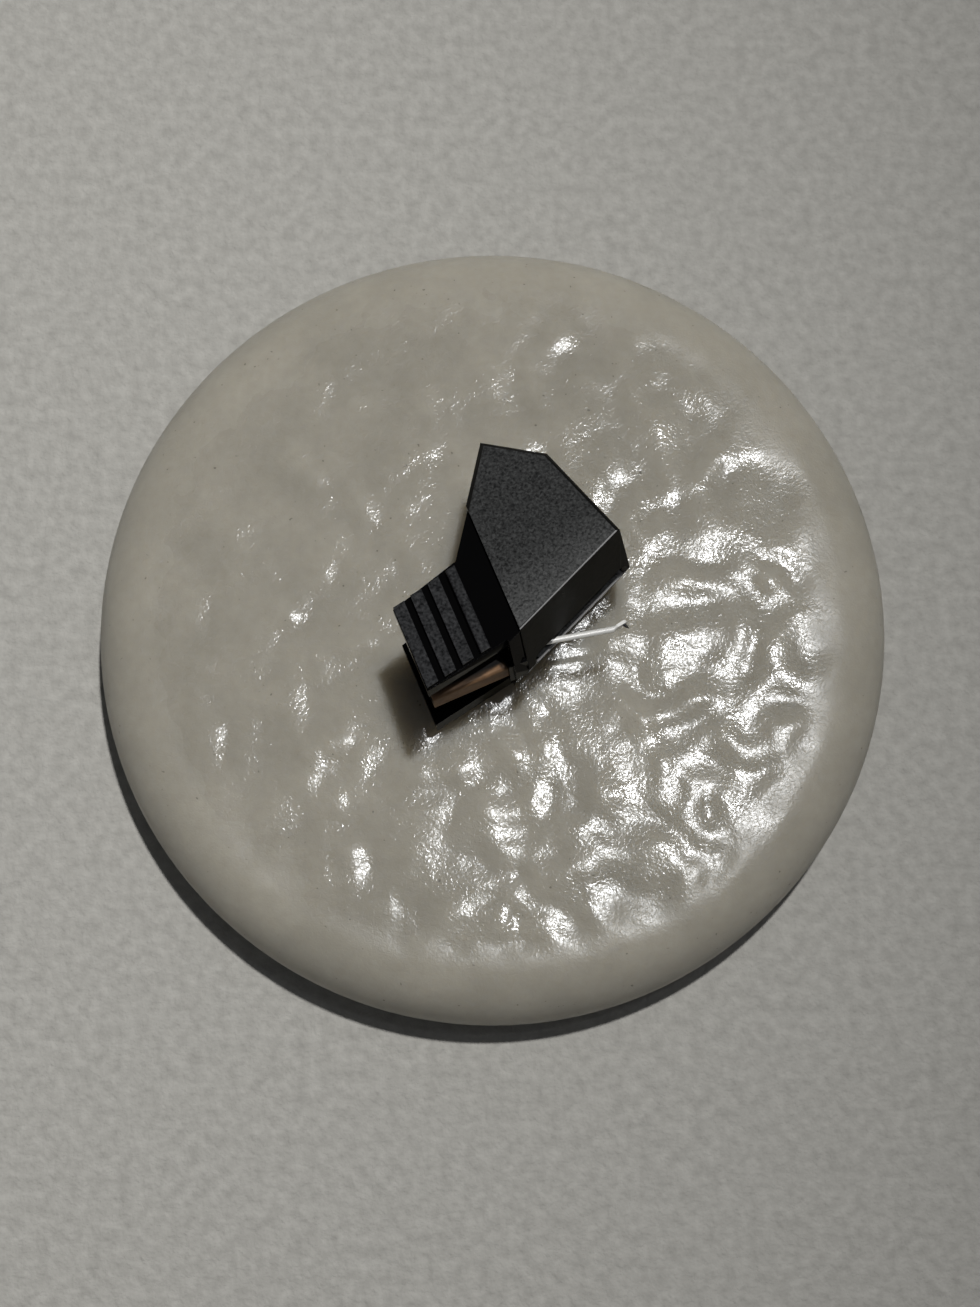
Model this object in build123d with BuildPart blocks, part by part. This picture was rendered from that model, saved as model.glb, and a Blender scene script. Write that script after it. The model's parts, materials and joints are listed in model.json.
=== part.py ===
from build123d import *
import os
from math import cos, radians, sin, sqrt, tan

os.makedirs("parts", exist_ok=True)

# A small replacement stylus for a record player cartridge, lying on its left side on a round dimpled cake.
# Millimetres. Row frame: +Z up, origin at the middle of the cake's underside.
# Stylus frame: X forward along the arms, Y to the left, Z away from the record, origin at the nose's
# lower rear edge in the middle plane.

# ---- driving sizes: cake ----
cake_diameter = 66.0
cake_height = 9.5
cake_top_round = 4.8
cake_foot_round = 2.6
cake_crown = 0.35
dimple_count = 76
dimple_margin = 2.7
dimple_depth = 0.3
dimple_radius_small = 1.25
dimple_radius_step = 0.3
dimple_size_classes = 3
golden_angle = 180 * (3 - sqrt(5))

# ---- driving sizes: nose ----
nose_width = 12.0
nose_front_x = 10.95
nose_front_z = 2.6
nose_brow_x = 10.0
nose_brow_z = 11.3
nose_peak_x = 6.25
nose_peak_z = 15.2
nose_back_x = 2.3
nose_back_z = 11.25
nose_draft = 4.5
nose_wall = 1.0
keel_wall = 0.6
keel_depth = 1.35
nose_edge_bevel = 0.35
nose_edge_round = 0.14
hollow_overrun = 2.8

# ---- driving sizes: grip ----
arm_length = 8.5
arm_rear_height = 7.2
arm_front_height = 7.8
arm_front_setback = 0.9
arm_rake = 11.0
arm_thickness = 1.7
band_step = 0.45
rib_count = 4
rib_pitch = 1.62
rib_width = 1.0
rib_height = 0.45
rib_rear_margin = 0.05
rib_round = 0.28
rib_foot = 0.1
rib_head = 0.08
band_notch = 0.35
keel_step = 0.15
bulkhead_thickness = 1.2
socket_length = 1.8
socket_wall = 0.6
socket_floor = 0.25
socket_top = 2.2
tongue_foot = 3.0
tongue_head = 8.5
tongue_depth = 1.2
tongue_width = 6.4

# ---- driving sizes: shank ----
shank_size = 2.2
shank_wall = 0.25
shank_corner = 0.3
shank_pitch = 9.5
shank_rear_gap = 0.6
shank_mouth = 0.6
stop_inset = 0.2
stop_length = 0.9
seat_depth = 0.45

# ---- driving sizes: cantilever and tip ----
cantilever_diameter = 0.5
cantilever_bore = 0.3
cantilever_pitch = 23.2
cantilever_straight = 5.5
cantilever_tip_length = 1.2
cantilever_tip_pitch = 2.0
cantilever_bend_x = 2.0
cantilever_bend_z = -0.18
pivot_back = 2.75
bar_insert = 0.6
bar_bend_radius = 1.2
flat_blend = 0.35
flat_thickness = 0.26
flat_width = 0.62
flat_round = 0.1
magnet_diameter = 0.8
magnet_length = 2.2
carrier_diameter = 0.86
carrier_length = 1.1
carrier_start = 0.75
magnet_bevel = 0.06
damper_radius = 0.6
damper_half_length = 0.34
tip_shank_diameter = 0.24
tip_shank_length = 0.42
tip_shank_above = 0.2
tip_from_end = 0.32
diamond_length = 0.2
diamond_point_radius = 0.02
tip_lean = 16.0
glue_radius = 0.27

# ---- named clearances ----
swing_gap = 0.03
cantilever_gap = 0.05
rest_gap = 0.03

# ---- slot the cantilever swings in ----
slot_width = 1.7
slot_rear_x = 0.45
slot_front_x = 10.25
slot_corner = 0.5
slot_lip = 0.36
slot_lip_angle = 45.0

# ---- how the stylus lies on the cake ----
rest_heading = 33.6
rest_roll = 7.0
rest_dip = 1.5
rest_x = 2.37
rest_y = -4.58

# ---- shared geometry of the stylus frame ----
half_nose = nose_width / 2
underside_slope = Vector(nose_front_x, 0, nose_front_z).normalized()
reach = nose_width + arm_length

shank_direction = Vector(cos(radians(shank_pitch)), 0, -sin(radians(shank_pitch)))
cantilever_bend = Vector(cantilever_bend_x, 0, cantilever_bend_z)
pivot = cantilever_bend - shank_direction * pivot_back

shank_tail = (arm_length - shank_rear_gap + pivot.X) / shank_direction.X

# Plane across the shank at the pivot: its local Z runs forward along the shank.
shank_section = Plane(origin=pivot, x_dir=(0, 1, 0), z_dir=shank_direction)

underside_normal = Vector(-underside_slope.Z, 0, underside_slope.X)

# Plane across the nose, square to its underside.
nose_section = Plane(origin=(0, 0, 0), x_dir=(0, 1, 0), z_dir=underside_slope)

front_lean = (nose_front_x - nose_brow_x) / (nose_brow_z - nose_front_z)
keel_floor_z = -2 * keel_depth
nose_outline = [
    (keel_floor_z * nose_back_x / nose_back_z, keel_floor_z),
    (nose_front_x - front_lean * (keel_floor_z - nose_front_z), keel_floor_z),
    (nose_brow_x, nose_brow_z),
    (nose_peak_x, nose_peak_z),
    (nose_back_x, nose_back_z),
]


def wedge(half_width, keel):
    """Half-widths of a drafted body with a shallow keel, as points across the nose."""
    narrowing = nose_peak_z * tan(radians(nose_draft))
    return [
        (0, -keel),
        (half_width, 0),
        (half_width - narrowing, nose_peak_z),
        (-half_width + narrowing, nose_peak_z),
        (-half_width, 0),
    ]


# ==== cake ====
cake_radius = cake_diameter / 2
cake_shoulder = cake_height - cake_crown
crown_reach = cake_radius - cake_top_round
crown_radius = (crown_reach**2 + cake_crown**2) / (2 * cake_crown)


def crown_height(ring):
    """Height of the gently domed top at a distance from the middle."""
    return cake_height - crown_radius + sqrt(crown_radius**2 - ring**2)


def dimple_spot(index, lift):
    """Middle of one dimple's ball, on a sunflower spiral over the domed top."""
    ring = (crown_reach - dimple_margin) * sqrt((index + 0.5) / dimple_count)
    turn = radians(golden_angle * index)
    return (ring * cos(turn), ring * sin(turn), crown_height(ring) + lift)


with BuildPart() as cake:
    with BuildSketch(Plane.XZ):
        with BuildLine():
            foot = Line((0, 0), (cake_radius - cake_foot_round, 0))
            heel = JernArc(foot @ 1, (1, 0), cake_foot_round, 90)
            side = Line(heel @ 1, (cake_radius, cake_shoulder - cake_top_round))
            brow = JernArc(side @ 1, (0, 1), cake_top_round, 90)
            halfway = (crown_reach / 2, crown_height(crown_reach / 2))
            crown = ThreePointArc(brow @ 1, halfway, (0, cake_height))
            Line(crown @ 1, (0, 0))
        make_face()
    revolve(axis=Axis.Z)
    for size_class in range(dimple_size_classes):
        mouth_radius = dimple_radius_small + dimple_radius_step * size_class
        ball_radius = (mouth_radius**2 + dimple_depth**2) / (2 * dimple_depth)
        lift = ball_radius - dimple_depth
        members = range(size_class, dimple_count, dimple_size_classes)
        with Locations(*[dimple_spot(index, lift) for index in members]):
            Sphere(ball_radius, mode=Mode.SUBTRACT)
cake.part.label = "cake"
export_step(cake.part, "parts/cake.step")


# ==== nose cap: hollow housing with a keel and a swing slot ====
def nose_rear_x(height):
    """The nose's leaning rear face, as a distance forward at a height."""
    return height * nose_back_x / nose_back_z


roof_run = Vector(nose_peak_x - nose_back_x, 0, nose_peak_z - nose_back_z).normalized()
hollow_back = Vector(nose_back_x, 0, nose_back_z) - roof_run * hollow_overrun
hollow_outline = [
    (nose_outline[0][0] - hollow_overrun, keel_floor_z),
    *nose_outline[1:4],
    (hollow_back.X, hollow_back.Z),
]


def side_edges(body):
    """Edges around the two side faces, without the one at the nose's rear."""
    sides = body.faces().sort_by(Axis.Y)[:1] + body.faces().sort_by(Axis.Y)[-1:]
    return [edge for face in sides for edge in face.edges() if edge.center().X > nose_back_x]


with BuildPart() as nose_hollow:
    with BuildSketch(Plane.XZ):
        with BuildLine():
            Polyline(*hollow_outline, close=True)
        make_face()
        offset(amount=-nose_wall, kind=Kind.INTERSECTION)
    extrude(amount=reach, both=True)
    with BuildSketch(nose_section):
        with BuildLine():
            Polyline(*wedge(half_nose - nose_wall, keel_depth - keel_wall), close=True)
        make_face()
    extrude(amount=reach, both=True, mode=Mode.INTERSECT)

slot_length = (slot_front_x - slot_rear_x) / underside_slope.X
slot_middle = (slot_rear_x + slot_front_x) / 2 / underside_slope.X
underside = Plane(origin=(0, 0, 0), x_dir=underside_slope, z_dir=underside_normal)
with BuildPart() as nose_cap:
    with BuildSketch(Plane.XZ):
        with BuildLine():
            Polyline(*nose_outline, close=True)
        make_face()
    extrude(amount=reach, both=True)
    with BuildSketch(nose_section):
        with BuildLine():
            Polyline(*wedge(half_nose, keel_depth), close=True)
        make_face()
    extrude(amount=reach, both=True, mode=Mode.INTERSECT)
    chamfer([edge for edge in side_edges(nose_cap) if edge.center().Z > nose_front_z], nose_edge_bevel)
    fillet([edge for edge in side_edges(nose_cap) if edge.center().Z < nose_front_z], nose_edge_round)
    add(nose_hollow.part, mode=Mode.SUBTRACT)
    with BuildSketch(underside.offset(-2 * keel_depth)):
        with Locations((slot_middle, 0)):
            RectangleRounded(slot_length, slot_width, slot_corner)
    extrude(amount=2 * keel_depth + nose_wall / 2, mode=Mode.SUBTRACT)
    with BuildSketch(underside.offset(-keel_depth)):
        with Locations((slot_middle, 0)):
            RectangleRounded(slot_length + 2 * slot_lip, slot_width + 2 * slot_lip, slot_corner + slot_lip)
    extrude(amount=slot_lip, taper=slot_lip_angle, mode=Mode.SUBTRACT)

# ==== how the whole stylus is laid on its left side, touching down on the nose ====
flat_heading = Vector(cos(radians(rest_heading)), sin(radians(rest_heading)), 0)
flat_side = Vector(-sin(radians(rest_heading)), cos(radians(rest_heading)), 0)
rest_up = flat_side * cos(radians(rest_roll)) - Vector(0, 0, 1) * sin(radians(rest_roll))
rest_left = rest_up.cross(flat_heading)
rest_forward = flat_heading * cos(radians(rest_dip)) + rest_left * sin(radians(rest_dip))
turned = Plane(origin=(0, 0, 0), x_dir=rest_forward, z_dir=rest_up).location
rest_z = cake_height + rest_gap - nose_cap.part.moved(turned).bounding_box().min.Z
lay_down = Plane(origin=(rest_x, rest_y, rest_z), x_dir=rest_forward, z_dir=rest_up).location

nose_cap.part.label = "nose_cap"
nose_cap.part.move(lay_down)
export_step(nose_cap.part, "parts/nose_cap.step")


# ==== grip frame: two ribbed arms, the band behind the nose and the shank socket ====
half_band = half_nose - band_step
half_gap = half_band - arm_thickness
half_shank = shank_size / 2
half_socket = half_shank + socket_wall


def shank_axis_z(distance):
    """Height of the shank's middle line at a distance forward."""
    return pivot.Z - (distance - pivot.X) * tan(radians(shank_pitch))


def lean(distance, height):
    """A point on the arms, leaning forward with the ribs' rake."""
    return (distance + height * tan(radians(arm_rake)), height)


band_top = nose_back_z - band_notch
grip_outline = [
    (0, 0),
    (nose_rear_x(band_top), band_top),
    (-arm_front_setback, arm_front_height),
    lean(-arm_length, arm_rear_height),
    (-arm_length, 0),
]
bulkhead_outline = [
    (nose_rear_x(-keel_depth), -keel_depth),
    (nose_rear_x(band_top), band_top),
    (nose_rear_x(band_top) - bulkhead_thickness, band_top - bulkhead_thickness),
    (nose_rear_x(-keel_depth) - bulkhead_thickness, -keel_depth),
]
arm_space = [
    (nose_rear_x(-keel_depth) - bulkhead_thickness, -keel_depth),
    (nose_rear_x(nose_peak_z) - bulkhead_thickness, nose_peak_z),
    (-2 * arm_length, nose_peak_z),
    (-2 * arm_length, -keel_depth),
]
with BuildPart() as ribs:
    with BuildSketch(Plane.XZ):
        for index in range(rib_count):
            rib_rear = -arm_length + rib_rear_margin + rib_pitch * index
            with BuildLine():
                Polyline(
                    lean(rib_rear, rib_foot),
                    lean(rib_rear + rib_width, rib_foot),
                    lean(rib_rear + rib_width, arm_rear_height + rib_head * index),
                    lean(rib_rear, arm_rear_height + rib_head * index),
                    close=True,
                )
            make_face()
    extrude(amount=reach, both=True)
    with BuildSketch(nose_section):
        with BuildLine():
            Polyline(*wedge(half_band + rib_height, keel_depth), close=True)
        make_face()
    extrude(amount=reach, both=True, mode=Mode.INTERSECT)
    crests = ribs.faces().group_by(Axis.Y)[0] + ribs.faces().group_by(Axis.Y)[-1]
    crest_edges = [edge for face in crests for edge in face.edges() if edge.length > arm_rear_height / 2]
    fillet(crest_edges, rib_round)
    Box(reach, 2 * half_band - 2 * rib_height, reach * 2, mode=Mode.SUBTRACT)

with BuildPart() as grip_frame:
    with BuildSketch(Plane.XZ):
        with BuildLine():
            Polyline(*grip_outline, close=True)
        make_face()
    extrude(amount=reach, both=True)
    with BuildSketch(Plane.XZ):
        with BuildLine():
            Polyline(*arm_space, close=True)
        make_face()
    extrude(amount=half_gap, both=True, mode=Mode.SUBTRACT)
    with BuildSketch(Plane.XZ):
        with BuildLine():
            Polyline(*bulkhead_outline, close=True)
        make_face()
    extrude(amount=reach, both=True)
    with BuildSketch(nose_section):
        with BuildLine():
            Polyline(*wedge(half_band, keel_depth - keel_step), close=True)
        make_face()
    extrude(amount=reach, both=True, mode=Mode.INTERSECT)
    add(ribs.part)
    with BuildSketch(Plane.XZ):
        with BuildLine():
            Polyline(
                (nose_rear_x(-keel_depth), keel_step - keel_depth),
                (nose_rear_x(socket_top), socket_top),
                (-socket_length, socket_top),
                (-socket_length, shank_axis_z(-socket_length) - half_shank - socket_floor),
                close=True,
            )
        make_face()
    extrude(amount=half_socket, both=True)
    with BuildSketch(Plane.XZ):
        with BuildLine():
            Polyline(
                (nose_rear_x(tongue_foot), tongue_foot),
                (nose_rear_x(tongue_foot) + tongue_depth, tongue_foot),
                (nose_rear_x(tongue_head) + tongue_depth, tongue_head),
                (nose_rear_x(tongue_head), tongue_head),
                close=True,
            )
        make_face()
    extrude(amount=tongue_width / 2, both=True)
    with BuildSketch(shank_section.offset(-shank_tail)):
        RectangleRounded(shank_size, shank_size, shank_corner)
    extrude(amount=shank_tail + 2 * shank_mouth, mode=Mode.SUBTRACT)
grip_frame.part.label = "grip_frame"
grip_frame.part.move(lay_down)
export_step(grip_frame.part, "parts/grip_frame.step")


# ==== shank: square metal tube, its rear stop and the damper's seat ====
shank_inside = shank_size - 2 * shank_wall
with BuildPart() as shank_tube:
    with BuildSketch(shank_section.offset(-shank_tail)):
        RectangleRounded(shank_size, shank_size, shank_corner)
        RectangleRounded(shank_inside, shank_inside, shank_corner / 2, mode=Mode.SUBTRACT)
    extrude(amount=shank_tail + shank_mouth)
shank_tube.part.label = "shank_tube"
shank_tube.part.move(lay_down)
export_step(shank_tube.part, "parts/shank_tube.step")

with BuildPart() as rear_stop:
    with BuildSketch(shank_section.offset(stop_inset - shank_tail)):
        RectangleRounded(shank_inside, shank_inside, shank_corner / 2)
    extrude(amount=stop_length)
rear_stop.part.label = "rear_stop"
rear_stop.part.move(lay_down)
export_step(rear_stop.part, "parts/rear_stop.step")

with BuildPart() as damper_seat:
    with BuildSketch(shank_section.offset(-seat_depth)):
        RectangleRounded(shank_inside, shank_inside, shank_corner / 2)
        Circle(damper_radius + swing_gap, mode=Mode.SUBTRACT)
    extrude(amount=seat_depth + shank_mouth)
damper_seat.part.label = "damper_seat"
damper_seat.part.move(lay_down)
export_step(damper_seat.part, "parts/damper_seat.step")


# ==== damper: rubber ring the cantilever swings in ====
half_bar = cantilever_diameter / 2
with BuildPart() as damper_ring:
    with BuildSketch(Plane.XZ):
        Circle(damper_radius)
        Rectangle(2 * damper_radius, 2 * damper_half_length, mode=Mode.INTERSECT)
        with Locations((damper_radius, 0)):
            Rectangle(
                2 * (damper_radius - half_bar - cantilever_gap), 2 * damper_radius, mode=Mode.INTERSECT
            )
    revolve(axis=Axis.Z)
damper_ring.part.label = "damper_ring"
damper_ring.part.move(lay_down * shank_section.location)
export_step(damper_ring.part, "parts/damper_ring.step")


# ==== cantilever: bent tube with a flattened end ====
bar_direction = Vector(cos(radians(cantilever_pitch)), 0, -sin(radians(cantilever_pitch)))
flat_direction = Vector(cos(radians(cantilever_tip_pitch)), 0, -sin(radians(cantilever_tip_pitch)))
flat_up = Vector(sin(radians(cantilever_tip_pitch)), 0, cos(radians(cantilever_tip_pitch)))
bar_rear = pivot - shank_direction * (carrier_start + bar_insert)
bar_end = cantilever_bend + bar_direction * cantilever_straight
flat_plane = Plane(origin=bar_end, x_dir=(0, 1, 0), z_dir=flat_direction)
flat_start = flat_plane.offset(flat_blend)
tip_origin = bar_end + flat_direction * (cantilever_tip_length - tip_from_end)
tip_axis = Vector(sin(radians(tip_lean)), 0, -cos(radians(tip_lean)))
tip_plane = Plane(origin=tip_origin, x_dir=(0, 1, 0), z_dir=tip_axis)

with BuildPart() as cantilever_tube:
    with BuildLine() as bar_path:
        Polyline(bar_rear, cantilever_bend, bar_end)
        fillet(bar_path.vertices().sort_by(Axis.X)[1], bar_bend_radius)
    with BuildSketch(Plane(origin=bar_rear, x_dir=(0, 1, 0), z_dir=shank_direction)):
        Circle(half_bar)
        Circle(cantilever_bore / 2, mode=Mode.SUBTRACT)
    sweep(path=bar_path.line)
    with BuildSketch(Plane(origin=bar_end, x_dir=(0, 1, 0), z_dir=bar_direction)):
        Circle(half_bar)
    with BuildSketch(flat_start):
        RectangleRounded(flat_width, flat_thickness, flat_round)
    loft()
    with BuildSketch(Plane(origin=bar_end, x_dir=flat_direction, z_dir=flat_up)) as flat_shape:
        with Locations(((flat_blend + cantilever_tip_length) / 2, 0)):
            Rectangle(cantilever_tip_length - flat_blend, flat_width)
        fillet(flat_shape.vertices().group_by(Axis.X)[-1], flat_width / 2 - flat_round)
    extrude(amount=flat_thickness / 2, both=True)
    with BuildSketch(tip_plane.offset(-tip_shank_length)):
        Circle(tip_shank_diameter / 2)
    extrude(amount=2 * tip_shank_length, mode=Mode.SUBTRACT)
cantilever_tube.part.label = "cantilever_tube"
cantilever_tube.part.move(lay_down)
export_step(cantilever_tube.part, "parts/cantilever_tube.step")


# ==== magnet and the sleeve that holds it on the cantilever ====
with BuildPart() as magnet_carrier:
    with BuildSketch(shank_section.offset(-carrier_start - carrier_length)):
        Circle(carrier_diameter / 2)
        Circle(half_bar, mode=Mode.SUBTRACT)
    extrude(amount=carrier_length)
magnet_carrier.part.label = "magnet_carrier"
magnet_carrier.part.move(lay_down)
export_step(magnet_carrier.part, "parts/magnet_carrier.step")

with BuildPart() as magnet:
    with BuildSketch(shank_section.offset(-carrier_start - carrier_length - magnet_length)):
        Circle(magnet_diameter / 2)
    extrude(amount=magnet_length)
    chamfer(magnet.edges().filter_by(GeomType.CIRCLE), magnet_bevel)
magnet.part.label = "magnet"
magnet.part.move(lay_down)
export_step(magnet.part, "parts/magnet.step")


# ==== tip: pin through the flattened end, its diamond point and the glue bead ====
with BuildPart() as tip_shank:
    with BuildSketch(tip_plane.offset(-tip_shank_above)):
        Circle(tip_shank_diameter / 2)
    extrude(amount=tip_shank_above + tip_shank_length)
tip_shank.part.label = "tip_shank"
tip_shank.part.move(lay_down)
export_step(tip_shank.part, "parts/tip_shank.step")

with BuildPart() as diamond_tip:
    with BuildSketch(tip_plane.offset(tip_shank_length)):
        Circle(tip_shank_diameter / 2)
    with BuildSketch(tip_plane.offset(tip_shank_length + diamond_length)):
        Circle(diamond_point_radius)
    loft()
diamond_tip.part.label = "diamond_tip"
diamond_tip.part.move(lay_down)
export_step(diamond_tip.part, "parts/diamond_tip.step")

with BuildPart() as tip_adhesive:
    with Locations(Plane(origin=tip_origin, x_dir=flat_direction, z_dir=flat_up)):
        Sphere(glue_radius)
        Box(4 * glue_radius, 4 * glue_radius, 2 * glue_radius, align=(Align.CENTER, Align.CENTER, Align.MAX),
            mode=Mode.SUBTRACT)
        Box(4 * glue_radius, 4 * glue_radius, flat_thickness, mode=Mode.SUBTRACT)
    with BuildSketch(tip_plane.offset(-2 * glue_radius)):
        Circle(tip_shank_diameter / 2)
    extrude(amount=2 * glue_radius, mode=Mode.SUBTRACT)
tip_adhesive.part.label = "tip_adhesive"
tip_adhesive.part.move(lay_down)
export_step(tip_adhesive.part, "parts/tip_adhesive.step")
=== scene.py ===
# %% [markdown]
# # A replacement stylus lying on a pale dimpled cake
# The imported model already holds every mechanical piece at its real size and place.
# This lesson gives each piece its finish, remakes the cake's rippled skin as a fine mesh,
# and then sets a floor, two small lamps and a camera.
# Everything is in metres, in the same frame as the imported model, so nothing has to be fitted.

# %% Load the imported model
import json
import math

import bmesh
import bpy
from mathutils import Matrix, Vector, noise


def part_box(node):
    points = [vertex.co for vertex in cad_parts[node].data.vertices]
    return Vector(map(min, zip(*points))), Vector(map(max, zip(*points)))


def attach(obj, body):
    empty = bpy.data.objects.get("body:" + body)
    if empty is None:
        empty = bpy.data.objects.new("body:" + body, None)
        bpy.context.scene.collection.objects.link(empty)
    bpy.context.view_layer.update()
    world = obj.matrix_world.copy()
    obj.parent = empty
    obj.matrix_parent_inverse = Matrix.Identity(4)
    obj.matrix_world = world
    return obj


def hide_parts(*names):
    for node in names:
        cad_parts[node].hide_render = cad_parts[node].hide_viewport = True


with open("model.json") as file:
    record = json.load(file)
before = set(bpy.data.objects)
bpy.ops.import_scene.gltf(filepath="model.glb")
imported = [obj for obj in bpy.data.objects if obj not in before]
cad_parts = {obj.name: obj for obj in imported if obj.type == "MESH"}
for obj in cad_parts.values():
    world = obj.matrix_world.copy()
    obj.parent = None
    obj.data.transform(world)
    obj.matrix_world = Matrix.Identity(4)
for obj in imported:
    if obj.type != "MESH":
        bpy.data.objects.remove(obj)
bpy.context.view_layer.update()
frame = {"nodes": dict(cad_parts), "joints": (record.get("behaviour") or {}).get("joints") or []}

mm = 0.001
print("nodes:", sorted(frame["nodes"]))

# %% [markdown]
# ## The two frames of reference
# The cake sits flat on the floor, so its box tells everything about it.
# The stylus lies tilted, so its own directions come from its two hinges: one turns about the
# stylus's up direction, the other about its left-right direction. They could be typed in as
# angles, but reading them from the joints keeps the finishes true wherever the stylus lies.

# %% Directions of the cake and of the stylus
cake_low, cake_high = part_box("cake")
cake_radius = (cake_high.x - cake_low.x) / 2
cake_height = cake_high.z

hinges = {joint["name"]: joint for joint in frame["joints"]}
stylus_up = Vector(hinges["lateral_swing"]["axis"])
stylus_left = -Vector(hinges["vertical_swing"]["axis"])
stylus_forward = stylus_left.cross(stylus_up)
stylus_pivot = Vector(hinges["lateral_swing"]["pos_m"])
print("cake radius and height, mm:", round(cake_radius / mm, 2), round(cake_height / mm, 2))
print("stylus forward:", [round(part, 3) for part in stylus_forward])

# %% [markdown]
# ## The cake's ripples
# The real cake is a poured or pressed pale disc. Its rim is smooth and fully rounded, and its
# top is covered in shallow hammered ripples a few millimetres across, a little deeper towards
# one side. A bump map could fake the ripples, but their glints and their outline would be wrong
# from the side, so they are real mesh. This cell sets their sizes, and where they fade out.

# %% Sizes of the ripples, and how strong they are at each place
ripple_size = 2.6 * mm
ripple_depth = 0.47 * mm
calm_rim = 2.6 * mm
calm_fade = 5.0 * mm
rim_wander = 3.2 * mm
wander_size = 9 * mm
calm_strength = 0.86
rough_side = Vector((0.6, -0.8, 0))
calm_end = -0.35
rough_end = 0.55


def smooth_step(low, high, value):
    """Eases from 0 at low to 1 at high."""
    share = min(max((value - low) / (high - low), 0.0), 1.0)
    return share * share * (3 - 2 * share)


def ripple_strength(spot):
    """Full strength in the middle of the top, fading out before the smooth rim."""
    wander = noise.noise(spot / wander_size) * rim_wander
    inside = cake_radius - calm_rim - spot.length + wander
    side = spot.dot(rough_side) / cake_radius
    heavier = calm_strength + (1 - calm_strength) * smooth_step(calm_end, rough_end, side)
    return smooth_step(0, calm_fade, inside) * heavier


print("strength at the middle:", round(ripple_strength(Vector((0, 0, 0))), 3))

# %% [markdown]
# ## The height of the skin
# Smooth noise alone looks like round hills. Pushing each place sideways by a second, slower
# noise before reading the first one bends the hills into the creases of a hammered skin, and a
# little finer noise breaks them up. Every noise is read at its own fixed starting point, so the
# ripples are the same in each run.

# %% The ripple field
ripple_drift = 0.5
drift_zoom = 0.45
fine_zoom = 2.3
broad_share = 0.5
fine_share = 0.06
swell_limit = 0.5
drift_start_x = Vector((3.1, 7.7, 1.3))
drift_start_y = Vector((8.2, 2.9, 6.4))
broad_start = Vector((11.2, 4.6, 0.5))
fine_start = Vector((1.9, 8.4, 5.2))


def ripple(spot):
    """How far the skin stands above or below the dome at a place on the top."""
    place = spot / ripple_size
    slow_place = place * drift_zoom
    drift_x = noise.noise(slow_place + drift_start_x)
    drift_y = noise.noise(slow_place + drift_start_y)
    drift = Vector((drift_x, drift_y, 0)) * ripple_drift
    broad = noise.noise(place + drift + broad_start)
    fine = noise.noise(place * fine_zoom + drift + fine_start)
    swell = broad_share * broad + fine_share * fine
    return ripple_depth * ripple_strength(spot) * min(max(swell, -swell_limit), swell_limit)


print("ripple at the middle, mm:", round(ripple(Vector((0, 0, 0))) / mm, 3))

# %% [markdown]
# ## The cake's profile
# From the side the cake is a very flat dome, a fully rounded rim and a smaller round at the
# foot. The dome is a piece of a huge ball that meets the rim at the same slope, because even a
# small step in slope shows as a line in the gloss. A curve object could be spun into the same
# form, but rings of points keep every point free to follow the ripples.
# The dome is settled by half a ripple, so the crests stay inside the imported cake.

# %% The profile as rings, from the middle of the top to the middle of the underside
crown_tilt = math.radians(1.4)
rim_round = 4.8 * mm
foot_round = 2.6 * mm
ring_step = 0.3 * mm
rim_rings = 20
foot_rings = 10
settle = (cake_height - ripple_depth / 2) / cake_height
crown_radius = (cake_radius - rim_round) / math.sin(crown_tilt) + rim_round
crown_reach = crown_radius * math.sin(crown_tilt)
crown_middle = cake_height - crown_radius
rim_middle = crown_middle + (crown_radius - rim_round) * math.cos(crown_tilt)
quarter_turn = math.pi / 2


def cake_rings():
    """Radius and height of each ring of points."""
    rings = []
    top_rings = round(crown_reach / ring_step)
    for index in range(1, top_rings + 1):
        ring = crown_reach * index / top_rings
        rings.append((ring, crown_middle + math.sqrt(crown_radius**2 - ring**2)))
    for index in range(1, rim_rings + 1):
        turn = crown_tilt + (quarter_turn - crown_tilt) * index / rim_rings
        ring = cake_radius - rim_round + rim_round * math.sin(turn)
        rings.append((ring, rim_middle + rim_round * math.cos(turn)))
    for index in range(foot_rings + 1):
        turn = quarter_turn * index / foot_rings
        ring = cake_radius - foot_round + foot_round * math.cos(turn)
        rings.append((ring, foot_round - foot_round * math.sin(turn)))
    rings.append((cake_radius / 2, 0))
    return rings


print("rings:", len(cake_rings()))

# %% [markdown]
# ## The skin as a mesh
# Each ring of the profile becomes a loop of points around the cake's axis, and neighbouring
# loops are joined with four-sided faces. Only the top loops are moved by the ripples.
# With a point every 0.3 mm or so, the ripples are smooth even close up.

# %% Lay the points and join them
spokes = 520


def ring_of_points(skin, ring, height):
    """One loop of points around the cake, raised or lowered by the ripples on the top."""
    loop = []
    for spoke in range(spokes):
        turn = 2 * math.pi * spoke / spokes
        spot = Vector((ring * math.cos(turn), ring * math.sin(turn), 0))
        wave = ripple(spot) if height > rim_middle + rim_round / 2 else 0.0
        loop.append(skin.verts.new((spot.x, spot.y, height * settle + wave)))
    return loop


def join_rings(skin, loops, middle_top, middle_foot):
    """Faces between neighbouring loops, and a fan of triangles at each middle."""
    for spoke in range(spokes):
        after = (spoke + 1) % spokes
        skin.faces.new((middle_top, loops[0][spoke], loops[0][after]))
        skin.faces.new((middle_foot, loops[-1][after], loops[-1][spoke]))
        for inner, outer in zip(loops, loops[1:]):
            skin.faces.new((inner[spoke], outer[spoke], outer[after], inner[after]))


skin = bmesh.new()
middle_top = skin.verts.new((0, 0, cake_height * settle + ripple(Vector((0, 0, 0)))))
middle_foot = skin.verts.new((0, 0, 0))
loops = [ring_of_points(skin, ring, height) for ring, height in cake_rings()]
join_rings(skin, loops, middle_top, middle_foot)
print("points and faces:", len(skin.verts), len(skin.faces))

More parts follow.
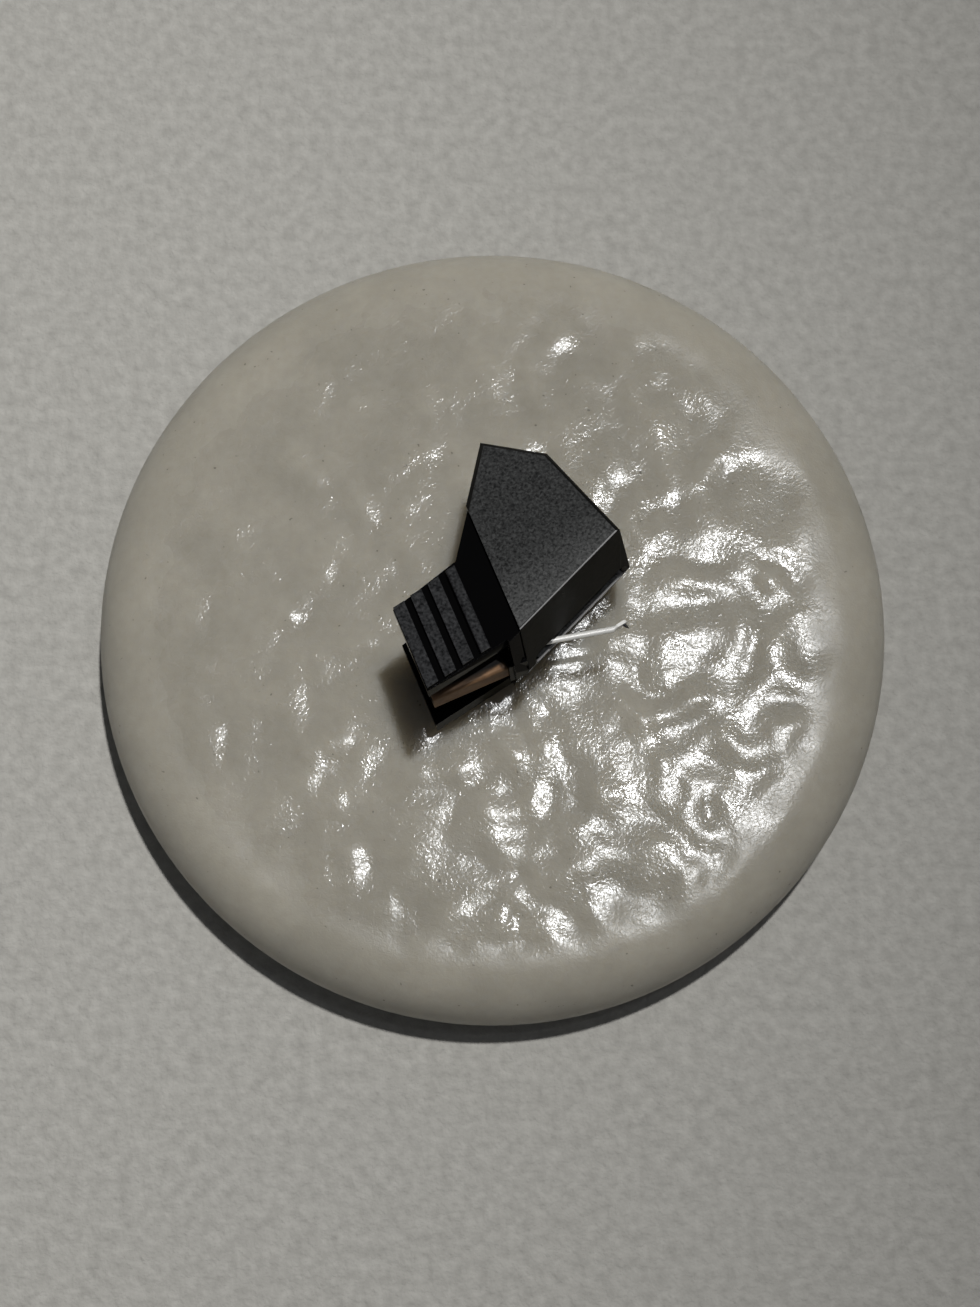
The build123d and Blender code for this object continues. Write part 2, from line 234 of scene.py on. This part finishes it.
# %% [markdown]
# ## The skin takes the plain cake's place
# The imported cake stays as it is, for size and for collision, but it isn't shown. The new skin
# stands for it and rides on the same body.

# %% Make the skin an object and hand it over


def add_object(name, data):
    """A new object in the scene, made from a mesh, from a lamp's data or from a camera's."""
    thing = bpy.data.objects.new(name, data)
    bpy.context.scene.collection.objects.link(thing)
    return thing


skin_mesh = bpy.data.meshes.new("cake_skin")
skin.to_mesh(skin_mesh)
skin.free()
skin_mesh.shade_smooth()
cake_skin = add_object("cake_skin", skin_mesh)
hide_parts("cake")
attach(cake_skin, "cake")
print("cake skin points:", len(skin_mesh.vertices))

# %% [markdown]
# ## Helpers for finishes: a start, and grain
# A procedural finish is a handful of noise textures that steer colour, roughness and relief.
# Painting image textures would also work, but noise stays sharp at any distance and needs no
# unwrapping. The helpers take real sizes: a grain of 0.2 mm is asked for as 0.2 * mm.

# %% Start a finish and ask for grain


def new_finish(name, colour, roughness, metallic=0.0):
    """A material with its shader ready, and its constant values set on the shader's own sockets."""
    finish = bpy.data.materials.new(name)
    finish.use_nodes = True
    shader = finish.node_tree.nodes["Principled BSDF"]
    shader.inputs["Base Color"].default_value = (*colour, 1)
    shader.inputs["Roughness"].default_value = roughness
    shader.inputs["Metallic"].default_value = metallic
    return finish, finish.node_tree, shader


def place_on_piece(tree):
    """Where a point lies on the piece, in metres."""
    return tree.nodes.new("ShaderNodeTexCoord").outputs["Object"]


def grain(tree, size, detail=2.0, twist=0.0, place=None):
    """Soft random blotches of about the given size."""
    texture = tree.nodes.new("ShaderNodeTexNoise")
    texture.inputs["Scale"].default_value = 1 / size
    texture.inputs["Detail"].default_value = detail
    texture.inputs["Distortion"].default_value = twist
    tree.links.new(place or place_on_piece(tree), texture.inputs["Vector"])
    return texture.outputs["Fac"]


print("materials so far:", len(bpy.data.materials))

# %% [markdown]
# ## Helpers for finishes: steering values
# A texture gives values near a half. Stretching them to the limits that a colour, a roughness
# or a mask needs is the most used step of all, so it has its own short names.

# %% Stretch, add up and blend
noise_low = 0.3
noise_high = 0.7


def remap(tree, value, low, high, to_low, to_high):
    """Stretches the part of a value between low and high to the new limits."""
    stretch = tree.nodes.new("ShaderNodeMapRange")
    stretch.inputs["From Min"].default_value = low
    stretch.inputs["From Max"].default_value = high
    stretch.inputs["To Min"].default_value = to_low
    stretch.inputs["To Max"].default_value = to_high
    tree.links.new(value, stretch.inputs["Value"])
    return stretch.outputs["Result"]


def share_of(tree, value, low, high):
    """0 at low and 1 at high, as a mask."""
    return remap(tree, value, low, high, 0, 1)


def vary(tree, texture, low, high):
    """A grain, most of which lies between the two noise limits, stretched from low to high."""
    return remap(tree, texture, noise_low, noise_high, low, high)


def combine(tree, operation, first, second):
    """Arithmetic on two values; the second may be a plain number."""
    node = tree.nodes.new("ShaderNodeMath")
    node.operation = operation
    tree.links.new(first, node.inputs[0])
    if isinstance(second, (int, float)):
        node.inputs[1].default_value = second
    else:
        tree.links.new(second, node.inputs[1])
    return node.outputs[0]


def blend_colours(tree, amount, first, second):
    """A colour that goes from the first to the second as the amount goes from 0 to 1."""
    mix = tree.nodes.new("ShaderNodeMix")
    mix.data_type = "RGBA"
    colour_sockets = mix.inputs[6], mix.inputs[7]
    for socket, colour in zip(colour_sockets, (first, second)):
        if isinstance(colour, tuple):
            socket.default_value = (*colour, 1)
        else:
            tree.links.new(colour, socket)
    tree.links.new(amount, mix.inputs[0])
    return mix.outputs[2]


print("grain is stretched from", noise_low, "and", noise_high)

# %% [markdown]
# ## The cake's colour and depth
# The material is pale, warm and slightly waxy: light goes a little way in, which softens its
# shadows. Broad clouds shift the cream tone, a fine mottle browns it in places, and a few dark
# specks of dust sit on it. Plain diffuse colour would look like plaster, so the shader's
# subsurface part is used in full.

# %% Waxy cream colour
cake_finish, tree, shader = new_finish("cake_wax", (0.30, 0.285, 0.245), 0.3)
shader.inputs["Subsurface Weight"].default_value = 1.0
shader.inputs["Subsurface Radius"].default_value = (1.0, 0.9, 0.75)
shader.inputs["Subsurface Scale"].default_value = 8.0 * mm
shader.inputs["IOR"].default_value = 1.46
shader.inputs["Specular IOR Level"].default_value = 0.34

dull_cream = (0.325, 0.31, 0.27)
pale_cream = (0.375, 0.357, 0.312)
brown_mottle = (0.25, 0.235, 0.20)
dust = (0.07, 0.062, 0.05)
clouds = share_of(tree, grain(tree, 7 * mm, detail=3.0), 0.35, 0.65)
mottle = remap(tree, grain(tree, 0.9 * mm, detail=4.0), 0.25, 0.8, 0, 0.35)
specks = remap(tree, grain(tree, 0.45 * mm, detail=1.0), 0.76, 0.80, 0, 0.55)
cream = blend_colours(tree, clouds, dull_cream, pale_cream)
cream = blend_colours(tree, mottle, cream, brown_mottle)
cream = blend_colours(tree, specks, cream, dust)
tree.links.new(cream, shader.inputs["Base Color"])
cake_skin.data.materials.append(cake_finish)
print("cake colours:", dull_cream, pale_cream, brown_mottle)

# %% [markdown]
# ## The cake's gloss
# The rippled top has a cast gloss, and the rim is matte. A clear coat with a mask could give
# the gloss, but one shader whose roughness rises towards the rim is simpler and bakes well.
# The mask is the distance from the cake's axis, with a slow noise added so that the gloss ends
# on a ragged line.

# %% Glossy top and matte rim
gloss_low = 0.12
gloss_high = 0.22
rim_matte = 0.3
flat_place = tree.nodes.new("ShaderNodeVectorMath")
flat_place.operation = "MULTIPLY"
flat_place.inputs[1].default_value = (1, 1, 0)
tree.links.new(place_on_piece(tree), flat_place.inputs[0])
from_middle = tree.nodes.new("ShaderNodeVectorMath")
from_middle.operation = "LENGTH"
tree.links.new(flat_place.outputs[0], from_middle.inputs[0])

wander = remap(tree, grain(tree, 6 * mm), 0, 1, -rim_wander, rim_wander)
ragged = combine(tree, "ADD", from_middle.outputs["Value"], wander)
matte_full = cake_radius - calm_rim
matte_start = matte_full - calm_fade
matte = combine(tree, "MULTIPLY", share_of(tree, ragged, matte_start, matte_full), rim_matte)
patchy = vary(tree, grain(tree, 3 * mm, detail=3.0), gloss_low, gloss_high)
tree.links.new(combine(tree, "ADD", patchy, matte), shader.inputs["Roughness"])
print("gloss ends between, mm:", round(matte_start / mm, 1), round(matte_full / mm, 1))

# %% [markdown]
# ## The cake's crinkle
# Within each ripple the real glints sparkle, because the cast skin has a crinkle of about a
# quarter of a millimetre. That is too small to model, so it is a bump with a real depth, and a
# second, shallower one adds pores. Stacking two bumps keeps each one's size easy to change.

# %% Crinkle and pores
crinkle_size = 0.28 * mm
crinkle_depth = 0.026 * mm
pore_size = 0.5 * mm
pore_depth = 0.005 * mm


def relief(tree, height, depth, under=None):
    """Fine relief too small to model, as a bump with a real depth."""
    bump = tree.nodes.new("ShaderNodeBump")
    bump.inputs["Distance"].default_value = depth
    bump.inputs["Strength"].default_value = 1.0
    tree.links.new(height, bump.inputs["Height"])
    if under is not None:
        tree.links.new(under, bump.inputs["Normal"])
    return bump.outputs["Normal"]


pores = tree.nodes.new("ShaderNodeTexVoronoi")
pores.inputs["Scale"].default_value = 1 / pore_size
tree.links.new(place_on_piece(tree), pores.inputs["Vector"])
crinkle = relief(tree, grain(tree, crinkle_size, detail=2.5, twist=0.6), crinkle_depth)
skin_relief = relief(tree, pores.outputs["Distance"], pore_depth, under=crinkle)
tree.links.new(skin_relief, shader.inputs["Normal"])
print("cake finish nodes:", len(tree.nodes))

# %% [markdown]
# ## Softened edges on the moulded and drawn pieces
# No real edge is razor sharp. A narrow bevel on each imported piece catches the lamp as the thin
# bright lines that show a moulding's shape. The bevel is a modifier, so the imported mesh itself
# is left alone: a weld first joins the loose triangle corners, then the bevel rounds only edges
# sharper than the given angle, and hardened normals keep the flat faces looking flat.

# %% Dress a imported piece: edges and finish
weld_distance = 0.001 * mm
edge_angle = 28
fine_edge_angle = 40


def soften(piece, width, angle, own_finish):
    """Rounds the piece's sharp edges, with a finish of their own if asked."""
    weld = piece.modifiers.new("join_corners", "WELD")
    weld.merge_threshold = weld_distance
    bevel = piece.modifiers.new("soft_edges", "BEVEL")
    bevel.width = width
    bevel.segments = 2
    bevel.limit_method = "ANGLE"
    bevel.angle_limit = math.radians(angle)
    bevel.harden_normals = True
    if own_finish:
        bevel.material = 1


def dress(node, finish, edge, edge_finish=None, angle=edge_angle):
    """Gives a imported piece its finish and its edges."""
    piece = frame["nodes"][node]
    finishes = [finish] if edge_finish is None else [finish, edge_finish]
    piece.data.materials.clear()
    for each in finishes:
        piece.data.materials.append(each)
    if edge:
        soften(piece, edge, angle, edge_finish is not None)
    print("dressed", node, "with", [each.name for each in finishes], "edge", round(edge / mm, 3))


print("pieces to dress:", len(frame["nodes"]) - 1)

# %% [markdown]
# ## Telling one part of a moulding from another
# One moulding often has several surfaces: textured sides, a smooth underside, polished grooves.
# Each could get its own material slot on chosen faces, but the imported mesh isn't edited here.
# Two measures tell the parts apart inside the shader instead: which way the surface faces, and
# how far a point lies along a direction.

# %% Facing and distance


def facing(tree, direction):
    """How squarely the piece's surface faces a direction, from -1 to 1."""
    node = tree.nodes.new("ShaderNodeVectorMath")
    node.operation = "DOT_PRODUCT"
    node.inputs[1].default_value = direction
    tree.links.new(tree.nodes.new("ShaderNodeTexCoord").outputs["Normal"], node.inputs[0])
    return node.outputs["Value"]


def facing_either_side(tree):
    """How squarely the surface faces the stylus's left or right, from 0 to 1."""
    return combine(tree, "ABSOLUTE", facing(tree, stylus_left), 0)


def along(tree, direction, start):
    """Distance of a point along a direction, counted from a starting point."""
    node = tree.nodes.new("ShaderNodeVectorMath")
    node.operation = "DOT_PRODUCT"
    node.inputs[1].default_value = direction
    tree.links.new(place_on_piece(tree), node.inputs[0])
    return combine(tree, "SUBTRACT", node.outputs["Value"], direction.dot(start))


print("pivot, mm:", [round(part / mm, 2) for part in stylus_pivot])

# %% [markdown]
# ## Nose housing: which surface is which
# The side faces of the real moulding carry the fine, even texture of a spark-eroded mould. The
# underside is smoother and blacker. The slanted edge between the two is smoother still, and is
# coloured a pale grey: a painted highlight for the glint line along that edge. These masks mark the
# sides, and that slant.

# %% Masks on the nose
nose_finish, tree, shader = new_finish("nose_spark_black", (0.03, 0.03, 0.031), 0.5)
sideways = facing_either_side(tree)
side_share = share_of(tree, sideways, 0.9, 0.985)
downward = share_of(tree, facing(tree, -stylus_up), 0.12, 0.3)
turning_in = share_of(tree, sideways, 0.3, 0.55)
turning_out = share_of(tree, sideways, 0.99, 0.94)
turning = combine(tree, "MULTIPLY", turning_in, turning_out)
# The slant between side and underside, which takes a painted highlight and a smoother gloss.
glint_slant_share = combine(tree, "MULTIPLY", downward, turning)
print("nose mask nodes:", len(tree.nodes))

# %% [markdown]
# ## Nose housing: colour
# The texture scatters light unevenly, so the sides are a mottled dark grey. The upper part is
# painted darker and the lower part, near the point, paler: a painted sheen for the lamp's broad
# gloss down the side. The colour goes from one pair of tones to the other down the side.

# %% Nose colour
upper_dark = (0.006, 0.0062, 0.0064)
upper_pale = (0.048, 0.0495, 0.0505)
sheen_lit_dark = (0.040, 0.041, 0.042)
sheen_lit_pale = (0.150, 0.154, 0.156)
underside_black = (0.002, 0.002, 0.0019)
painted_glint_grey = (0.32, 0.32, 0.33)
fade_top = -5.0 * mm
fade_foot = 3.5 * mm

spark = grain(tree, 0.22 * mm, detail=4.0, twist=0.5)
spark_share = share_of(tree, spark, 0.32, 0.68)
upper_tone = blend_colours(tree, spark_share, upper_dark, upper_pale)
sheen_lit_tone = blend_colours(tree, spark_share, sheen_lit_dark, sheen_lit_pale)
# Painted sheen: the side is paler towards its lower part and darker towards the top.
painted_sheen_share = share_of(tree, along(tree, -stylus_up, stylus_pivot), fade_top, fade_foot)
side_tone = blend_colours(tree, painted_sheen_share, upper_tone, sheen_lit_tone)
nose_tone = blend_colours(tree, side_share, underside_black, side_tone)
# Painted highlight: the slant is coloured pale grey, standing in for the glint line along that
# edge.
nose_tone = blend_colours(tree, glint_slant_share, nose_tone, painted_glint_grey)
tree.links.new(nose_tone, shader.inputs["Base Color"])
print("side tones:", upper_pale, "to", sheen_lit_pale)

# %% [markdown]
# ## Nose housing: sheen and texture
# The sides are satin. The underside is smoother and reflects less, and the slant is
# smoothest. The same grain that colours the sides also lifts them, so each pale fleck is a real
# peak of the texture.

# %% Nose roughness and relief
satin_low = 0.38
satin_high = 0.48
underside_smoother = -0.1
rubbed_smoother = -0.16
spark_depth = 0.045 * mm

tree.links.new(remap(tree, side_share, 0, 1, 0.07, 0.16), shader.inputs["Specular IOR Level"])
satin = vary(tree, grain(tree, 0.5 * mm, detail=2.0), satin_low, satin_high)
smoother = remap(tree, side_share, 0, 1, underside_smoother, 0)
rubbed_smooth = combine(tree, "MULTIPLY", glint_slant_share, rubbed_smoother)
sides_and_foot = combine(tree, "ADD", satin, smoother)
nose_roughness = combine(tree, "ADD", sides_and_foot, rubbed_smooth)
tree.links.new(nose_roughness, shader.inputs["Roughness"])
spark_height = combine(tree, "MULTIPLY", spark, remap(tree, side_share, 0, 1, 0.1, 1))
tree.links.new(relief(tree, spark_height, spark_depth), shader.inputs["Normal"])
print("nose finish nodes:", len(tree.nodes))

# %% [markdown]
# ## Nose housing: rubbed edges
# The corners of a handled moulding wear smooth first. The bevelled edges take a finish of their
# own, glossier than the sides and a little paler: partly wear, partly a painted highlight for the
# thin bright lines along the edges.

# %% Dress the nose
# The paler edge colour is partly wear and partly a painted highlight.
worn_nose_painted_highlight, tree, shader = new_finish("nose_worn_edge_painted_highlight", (0.05, 0.05, 0.052), 0.38)
worn_roughness = remap(tree, grain(tree, 0.4 * mm, detail=3.0), 0.35, 0.7, 0.28, 0.5)
tree.links.new(worn_roughness, shader.inputs["Roughness"])
dress("nose_cap", nose_finish, 0.07 * mm, edge_finish=worn_nose_painted_highlight)

# %% [markdown]
# ## Grip frame: crests and grooves
# The grip arms and the band behind the nose come from a polished part of the mould. All but the
# rib crests are coloured near-black: partly the plastic's own black, partly painted shade in the
# grooves and on the band. Only the crests of the ribs, where a thumb and finger hold, are satin and
# a paler grey. The crests are told from the grooves by how far a point stands out from the middle
# plane, with the arms' draft allowed for, and by facing outward.

# %% Masks on the grip
keel_slope = math.radians(13.36)
arm_draft = math.radians(4.5)
pivot_height = 0.274 * mm
groove_reach = 5.62 * mm
crest_reach = 5.94 * mm
across_keel = stylus_up * math.cos(keel_slope) - stylus_forward * math.sin(keel_slope)
keel_start = stylus_pivot - stylus_up * pivot_height

grip_finish, tree, shader = new_finish("grip_gloss_black", (0.006, 0.006, 0.0065), 0.16)
outward = combine(tree, "ABSOLUTE", along(tree, stylus_left, stylus_pivot), 0)
above_keel = along(tree, across_keel, keel_start)
draft_share = combine(tree, "MULTIPLY", above_keel, math.tan(arm_draft))
reach_out = combine(tree, "ADD", outward, draft_share)
standing_out = share_of(tree, reach_out, groove_reach, crest_reach)
facing_out = share_of(tree, facing_either_side(tree), 0.55, 0.9)
crest_share = combine(tree, "MULTIPLY", standing_out, facing_out)
print("crests begin, mm from the middle:", round(groove_reach / mm, 2))

# %% [markdown]
# ## Grip frame: colour and sheen
# Polished black plastic is nearly without colour of its own: what shows is what it reflects.
# It reflects little here, so its refraction is set low and its base almost black; that near-black
# also paints the shade in the grooves and on the band. The crests add a satin roughness and a
# mottled dark grey.

# %% Dress the grip
shader.inputs["Specular IOR Level"].default_value = 0.3
shader.inputs["IOR"].default_value = 1.15
groove_black_painted_shade = (0.002, 0.002, 0.0022)
crest_dark = (0.005, 0.0053, 0.006)
crest_pale = (0.042, 0.043, 0.046)
crest_rougher = 0.32

crest_grain = grain(tree, 0.25 * mm, detail=4.0)
crest_tone = blend_colours(tree, vary(tree, crest_grain, 0, 1), crest_dark, crest_pale)
# Painted shade: grooves and band are near-black, the raised crests a paler grey.
grip_tone = blend_colours(tree, crest_share, groove_black_painted_shade, crest_tone)
tree.links.new(grip_tone, shader.inputs["Base Color"])
polished = vary(tree, grain(tree, 1.3 * mm, detail=4.0, twist=0.8), 0.1, 0.2)
rougher = combine(tree, "MULTIPLY", crest_share, crest_rougher)
tree.links.new(combine(tree, "ADD", polished, rougher), shader.inputs["Roughness"])
flow = combine(tree, "MULTIPLY", crest_grain, remap(tree, crest_share, 0, 1, 0.1, 1))
tree.links.new(relief(tree, flow, 0.02 * mm), shader.inputs["Normal"])

# The bevelled edges are a little paler: partly wear, partly a painted highlight for the thin bright
# line along the rib edges.
worn_grip_painted_highlight, tree, shader = new_finish("grip_worn_edge_painted_highlight", (0.05, 0.05, 0.052), 0.3)
tree.links.new(vary(tree, grain(tree, 0.3 * mm), 0.22, 0.4), shader.inputs["Roughness"])
dress("grip_frame", grip_finish, 0.06 * mm, edge_finish=worn_grip_painted_highlight)

# %% [markdown]
# ## Drawn metal
# Drawn tube has fine lines along its length. Anisotropic gloss could suggest them, but the
# lines themselves show on pieces this small. They are ordinary noise, read at a place that has
# been squeezed along the tube, which stretches the blotches into streaks.

# %% Draw lines


def draw_lines(tree, course, width, squeeze_to):
    """Streaks that run along a course: noise on a place squeezed along that course."""
    distance = tree.nodes.new("ShaderNodeVectorMath")
    distance.operation = "DOT_PRODUCT"
    distance.inputs[1].default_value = course
    place = place_on_piece(tree)
    tree.links.new(place, distance.inputs[0])
    shift = tree.nodes.new("ShaderNodeVectorMath")
    shift.operation = "SCALE"
    shift.inputs[0].default_value = course * (squeeze_to - 1)
    tree.links.new(distance.outputs["Value"], shift.inputs["Scale"])
    moved = tree.nodes.new("ShaderNodeVectorMath")
    moved.operation = "ADD"
    tree.links.new(place, moved.inputs[0])
    tree.links.new(shift.outputs[0], moved.inputs[1])
    return grain(tree, width, detail=3.0, place=moved.outputs[0])


print("draw lines run along:", [round(part, 3) for part in stylus_forward])

# %% [markdown]
# ## Shank
# The shank is a thin square brass tube, dulled by years of air. Its colour drifts between tan
# and brown. Except for a strip on the side towards the keel, it is painted nearly black: a painted
# shadow of the near arm, which falls across it, so only that strip shows lit brass. Bare metal
# would mirror the room, so the dulled brass is mostly plain colour with only a little metal in it.

# %% Dress the shank
shank_pitch = math.radians(9.5)
across_shank = stylus_up * math.cos(shank_pitch) + stylus_forward * math.sin(shank_pitch)
arm_shadow_end = 0.4 * mm
brass_start = 0.75 * mm
tan_brass = (0.25, 0.145, 0.078)
brown_brass = (0.12, 0.072, 0.042)
painted_arm_shadow = (0.012, 0.009, 0.0065)

shank_finish, tree, shader = new_finish("shank_dull_brass", (0.17, 0.12, 0.08), 0.55, metallic=0.2)
shader.inputs["Specular IOR Level"].default_value = 0.2
stain = share_of(tree, grain(tree, 1.6 * mm, detail=4.0), 0.35, 0.65)
towards_keel = along(tree, -across_shank, stylus_pivot)
# Painted shadow: nearly black except a strip towards the keel, standing in for the near arm's
# shadow.
lit_strip_share = share_of(tree, towards_keel, arm_shadow_end, brass_start)
brass = blend_colours(tree, stain, tan_brass, brown_brass)
brass = blend_colours(tree, lit_strip_share, painted_arm_shadow, brass)
tree.links.new(brass, shader.inputs["Base Color"])
streaks = draw_lines(tree, stylus_forward, 0.12 * mm, 0.06)
tree.links.new(vary(tree, streaks, 0.5, 0.66), shader.inputs["Roughness"])
tree.links.new(relief(tree, streaks, 0.004 * mm), shader.inputs["Normal"])
dress("shank_tube", shank_finish, 0.03 * mm)

# %% [markdown]
# ## Inner stop and seat
# These two are small turned brass parts inside the shank. They are hidden, so a clean brass
# with the tool's marks is enough.

# %% Dress the turned brass
inner_finish, tree, shader = new_finish("turned_brass", (0.55, 0.40, 0.22), 0.35, metallic=1.0)
tool_marks = grain(tree, 0.1 * mm, detail=2.0)
tree.links.new(vary(tree, tool_marks, 0.28, 0.45), shader.inputs["Roughness"])
tree.links.new(relief(tree, tool_marks, 0.003 * mm), shader.inputs["Normal"])
for node in ("rear_stop", "damper_seat"):
    dress(node, inner_finish, 0.03 * mm)

# %% [markdown]
# ## Cantilever and its sleeve
# The cantilever is bright drawn aluminium. A perfect metal shows only reflections, and would
# look black wherever it mirrors the dark room. The real tube is slightly frosted, so it also
# scatters light like a pale paint, and the finish is part metal and part pale colour.

# %% Dress the aluminium
bright_line = (0.96, 0.96, 0.94)
dull_line = (0.80, 0.80, 0.785)
bar_finish, tree, shader = new_finish("drawn_aluminium", (0.92, 0.92, 0.90), 0.26, metallic=0.3)
bar_lines = draw_lines(tree, stylus_forward, 0.05 * mm, 0.05)
bar_tone = blend_colours(tree, vary(tree, bar_lines, 0, 1), bright_line, dull_line)
tree.links.new(bar_tone, shader.inputs["Base Color"])
tree.links.new(vary(tree, bar_lines, 0.2, 0.38), shader.inputs["Roughness"])
tree.links.new(relief(tree, bar_lines, 0.002 * mm), shader.inputs["Normal"])
for node in ("cantilever_tube", "magnet_carrier"):
    dress(node, bar_finish, 0.02 * mm, angle=fine_edge_angle)

# %% [markdown]
# ## Magnet
# The magnet is a short rod, ground all over and nearly black. It is metal, but a dark one, with
# a very fine uneven grind.

# %% Dress the magnet
magnet_finish, tree, shader = new_finish("ground_magnet", (0.16, 0.16, 0.165), 0.35, metallic=1.0)
ground = grain(tree, 0.06 * mm, detail=2.0)
tree.links.new(vary(tree, ground, 0.28, 0.5), shader.inputs["Roughness"])
dress("magnet", magnet_finish, 0.02 * mm, angle=fine_edge_angle)

# %% [markdown]
# ## Rubber ring
# The cantilever swings in a soft black ring. Rubber has a dry bloom on it, so it is rough and
# slightly uneven. It is moulded round already, so its edges are left alone.

# %% Dress the ring
rubber_finish, tree, shader = new_finish("damper_rubber", (0.02, 0.02, 0.02), 0.75)
bloom = grain(tree, 0.12 * mm, detail=3.0)
tree.links.new(vary(tree, bloom, 0.65, 0.85), shader.inputs["Roughness"])
tree.links.new(relief(tree, bloom, 0.006 * mm), shader.inputs["Normal"])
dress("damper_ring", rubber_finish, 0)

# %% [markdown]
# ## Glue bead
# A bead of clear glue holds the point in the tube's flattened end. Full glass would be slow to
# render and hardly seen at this size, so it is a pale gloss with a third of its light let
# through.

# %% Dress the glue
glue_finish, tree, shader = new_finish("clear_glue", (0.72, 0.68, 0.55), 0.12)
shader.inputs["Transmission Weight"].default_value = 0.3
shader.inputs["IOR"].default_value = 1.5
tree.links.new(vary(tree, grain(tree, 0.1 * mm), 0.06, 0.2), shader.inputs["Roughness"])
dress("tip_adhesive", glue_finish, 0)

# %% [markdown]
# ## Pin and diamond
# The point is a diamond on a dark metal pin. The diamond is far too small to show what is
# behind it, so it is a dark, very smooth body with a diamond's strong reflection.

# %% Dress the pin and the diamond
fine_polish = 0.05 * mm
pin_finish, tree, shader = new_finish("tip_pin_metal", (0.10, 0.10, 0.105), 0.3, metallic=1.0)
tree.links.new(vary(tree, grain(tree, fine_polish), 0.22, 0.4), shader.inputs["Roughness"])
dress("tip_shank", pin_finish, 0)

diamond_finish, tree, shader = new_finish("dark_diamond", (0.03, 0.03, 0.026), 0.06)
shader.inputs["IOR"].default_value = 2.4
tree.links.new(vary(tree, grain(tree, fine_polish), 0.04, 0.1), shader.inputs["Roughness"])
dress("diamond_tip", diamond_finish, 0)

# %% [markdown]
# ## Floor
# A plain pale sheet of card, slightly warm, with a faint fibrous tooth. It lies just under the
# cake, so that the two never flicker through each other.

# %% The floor and its card finish
floor_half = 900 * mm
floor_drop = 0.02 * mm
dull_card = (0.33, 0.325, 0.309)
bright_card = (0.42, 0.415, 0.396)
signs = ((-1, -1), (1, -1), (1, 1), (-1, 1))
corners = [(x * floor_half, y * floor_half, -floor_drop) for x, y in signs]
floor_mesh = bpy.data.meshes.new("floor")
floor_mesh.from_pydata(corners, [], [(0, 1, 2, 3)])
floor = add_object("floor", floor_mesh)

card, tree, shader = new_finish("pale_card", (0.37, 0.365, 0.345), 0.75)
shader.inputs["Specular IOR Level"].default_value = 0.2
fibre = vary(tree, grain(tree, 1.1 * mm, detail=5.0), 0, 1)
tree.links.new(blend_colours(tree, fibre, dull_card, bright_card), shader.inputs["Base Color"])
tooth = combine(tree, "ADD", grain(tree, 0.5 * mm, detail=3.0), grain(tree, 1.4 * mm, detail=2.0))
tree.links.new(relief(tree, tooth, 0.16 * mm), shader.inputs["Normal"])
floor_mesh.materials.append(card)
print("floor, mm across:", round(2 * floor_half / mm))

# %% [markdown]
# ## Light: the lamp
# One small lamp high above gives the shading and the narrow shadow under the rim. It is a spot
# with a soft cone aimed a little to the left, so that the floor brightens gently towards that
# side. It is left out of reflections, because the next lamp is there for those.

# %% The lamp
lamp_distance = 900 * mm
lamp_direction = Vector((0.14, 0.24, 1.0)).normalized()
lamp_target = Vector((-0.13, 0.01, 0))


def add_light(name, kind, place, target, energy, colour):
    """A light at a place, pointed at a target."""
    data = bpy.data.lights.new(name, kind)
    data.energy = energy
    data.color = colour
    light = add_object(name, data)
    light.location = place
    light.rotation_mode = "QUATERNION"
    light.rotation_quaternion = (target - place).to_track_quat("-Z", "Y")
    return light


warm_white = (1.0, 0.985, 0.95)
lamp_place = lamp_direction * lamp_distance
lamp = add_light("lamp", "SPOT", lamp_place, lamp_target, 31.5, warm_white)
lamp.visible_glossy = False
lamp.data.shadow_soft_size = 20 * mm
lamp.data.spot_size = math.radians(34)
lamp.data.spot_blend = 1.0
print("lamp at, mm:", [round(part / mm) for part in lamp.location])

# %% [markdown]
# ## Light: the glints
# A second small lamp is seen only in gloss. Moving it chooses which ripples glint, without
# adding a second shadow. It could be one lamp for both, but then the shadow and the glints
# could never be set apart. A dim sky keeps the blacks readable, and the plain view transform
# shows the colours as they are.

# %% The glint lamp and a dim sky
cool_white = (0.98, 0.99, 1.0)
glint_place = Vector((0.21, 0.094, 1.0)).normalized() * lamp_distance
glint_target = Vector((0, 0, cake_height))
glint = add_light("glint_lamp", "POINT", glint_place, glint_target, 18.0, cool_white)
glint.visible_diffuse = False
glint.data.shadow_soft_size = 14 * mm

sky = bpy.data.worlds.new("dim_sky")
sky.use_nodes = True
backdrop = sky.node_tree.nodes["Background"]
backdrop.inputs["Color"].default_value = (0.95, 0.97, 1.0, 1)
backdrop.inputs["Strength"].default_value = 0.08
bpy.context.scene.world = sky
bpy.context.scene.view_settings.view_transform = "Standard"
print("glint lamp at, mm:", [round(part / mm) for part in glint.location])

# %% [markdown]
# ## Camera
# The camera looks down on the cake from a hand's height, tilted a little towards the front.
# It is aimed with a tracking rotation, which is easier to read than three typed angles.

# %% The camera
camera_data = bpy.data.cameras.new("camera")
camera_data.lens = 64.95
camera_data.sensor_width = 36
camera_data.clip_start = 10 * mm
camera_data.clip_end = 5
camera = add_object("camera", camera_data)
camera.location = Vector((-0.21, -41.77, 198.86)) * mm
looked_at = Vector((-0.21, -2.12, 4.4)) * mm
camera.rotation_mode = "QUATERNION"
camera.rotation_quaternion = (looked_at - camera.location).to_track_quat("-Z", "Y")
bpy.context.scene.camera = camera
print("camera distance, mm:", round((looked_at - camera.location).length / mm, 1))
